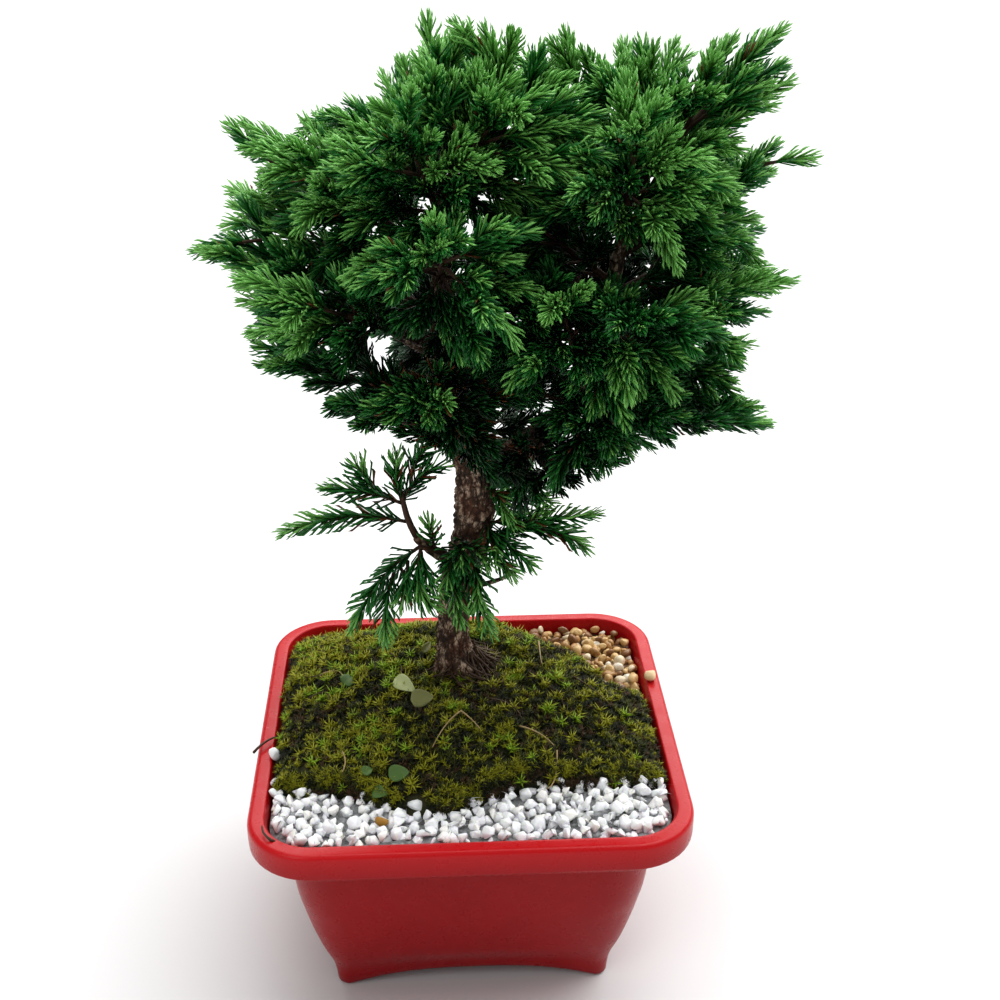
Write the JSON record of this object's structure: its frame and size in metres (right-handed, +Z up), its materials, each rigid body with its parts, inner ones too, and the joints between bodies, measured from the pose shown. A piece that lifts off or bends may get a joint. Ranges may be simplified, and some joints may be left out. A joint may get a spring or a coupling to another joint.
{
  "type": "bonsai tree",
  "caption": "Small potted bonsai conifer with a forked trunk and a wide crown of needle sprays, growing from a moss mound in a square tapering pot with gravel at its edges.",
  "frame": {"origin": "on the ground, under the middle of the whole plant and pot", "axes": "+X to the right of the picture, along the pot's front edge; +Y away from the viewer, along the pot's side; +Z up the trunk"},
  "size_m": [0.2009, 0.1689, 0.3274],
  "materials": {
    "pot_red": "satin moulded red plastic",
    "soil_dark": "matte dark potting soil",
    "moss_green": "matte yellow-green moss",
    "stone_white": "matte white marble chips",
    "stone_brown": "satin brown and golden gravel",
    "bark": "rough flaky bark",
    "needles": "satin green needles"
  },
  "bodies": {
    "root": {"bough_back_left": "bark", "bough_back_right": "bark", "bough_centre_front": "bark", "bough_front_left": "bark", "bough_front_mid": "bark", "bough_left_low": "bark", "bough_left_wide": "bark", "bough_right_low": "bark", "bough_right_wide": "bark", "brown_gravel": "stone_brown", "dead_twig": "bark", "foliage_back_left": "needles", "foliage_back_low": "needles", "foliage_back_right": "needles", "foliage_back_right_low": "needles", "foliage_centre_back": "needles", "foliage_centre_front": "needles", "foliage_centre_inner": "needles", "foliage_centre_upper": "needles", "foliage_crown_tip": "needles", "foliage_front_centre": "needles", "foliage_front_high": "needles", "foliage_front_left": "needles", "foliage_front_left_low": "needles", "foliage_front_low": "needles", "foliage_front_mid": "needles", "foliage_front_right": "needles", "foliage_front_right_high": "needles", "foliage_front_right_low": "needles", "foliage_front_top": "needles", "foliage_hanging_front": "needles", "foliage_left_back": "needles", "foliage_left_high": "needles", "foliage_left_low": "needles", "foliage_left_wide": "needles", "foliage_low_back": "needles", "foliage_low_front": "needles", "foliage_low_left_lower": "needles", "foliage_low_left_upper": "needles", "foliage_low_middle": "needles", "foliage_low_right": "needles", "foliage_low_right_back": "needles", "foliage_right_back": "needles", "foliage_right_high": "needles", "foliage_right_low": "needles", "foliage_right_mid": "needles", "foliage_right_top": "needles", "foliage_right_wide": "needles", "foliage_top_centre": "needles", "foliage_top_left": "needles", "foliage_top_middle": "needles", "foliage_top_right": "needles", "low_left_bough": "bark", "moss_mound": "moss_green", "pot": "pot_red", "right_leader": "bark", "soil": "soil_dark", "trunk": "bark", "white_gravel": "stone_white"}
  },
  "joints": []
}
